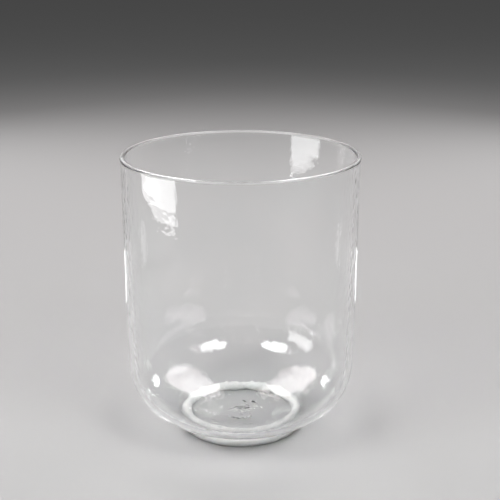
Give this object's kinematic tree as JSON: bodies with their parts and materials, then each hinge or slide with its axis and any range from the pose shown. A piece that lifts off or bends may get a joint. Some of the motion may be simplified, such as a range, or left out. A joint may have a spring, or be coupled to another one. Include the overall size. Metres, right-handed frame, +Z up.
{
  "type": "glass vessel on a support ring",
  "caption": "Tall round clear glass vessel with a straight wall, rounded rim and shallow dished bottom, standing on a soft white O-ring.",
  "frame": {"origin": "centre of the ring's underside, on the table", "axes": "+Z up along the vessel's axis; X and Y are free, since both pieces are round"},
  "size_m": [0.18, 0.18, 0.221],
  "materials": {
    "clear_glass": "clear, fire-polished",
    "white_silicone": "satin"
  },
  "bodies": {
    "ring": {"support_ring": "white_silicone"},
    "vessel": {"glass_vessel": "clear_glass"}
  },
  "joints": [
    {"name": "vessel_lift", "type": "slide", "parent": "ring", "child": "vessel", "axis": [0, 0, 1], "range_m": [0, 0.15]}
  ]
}
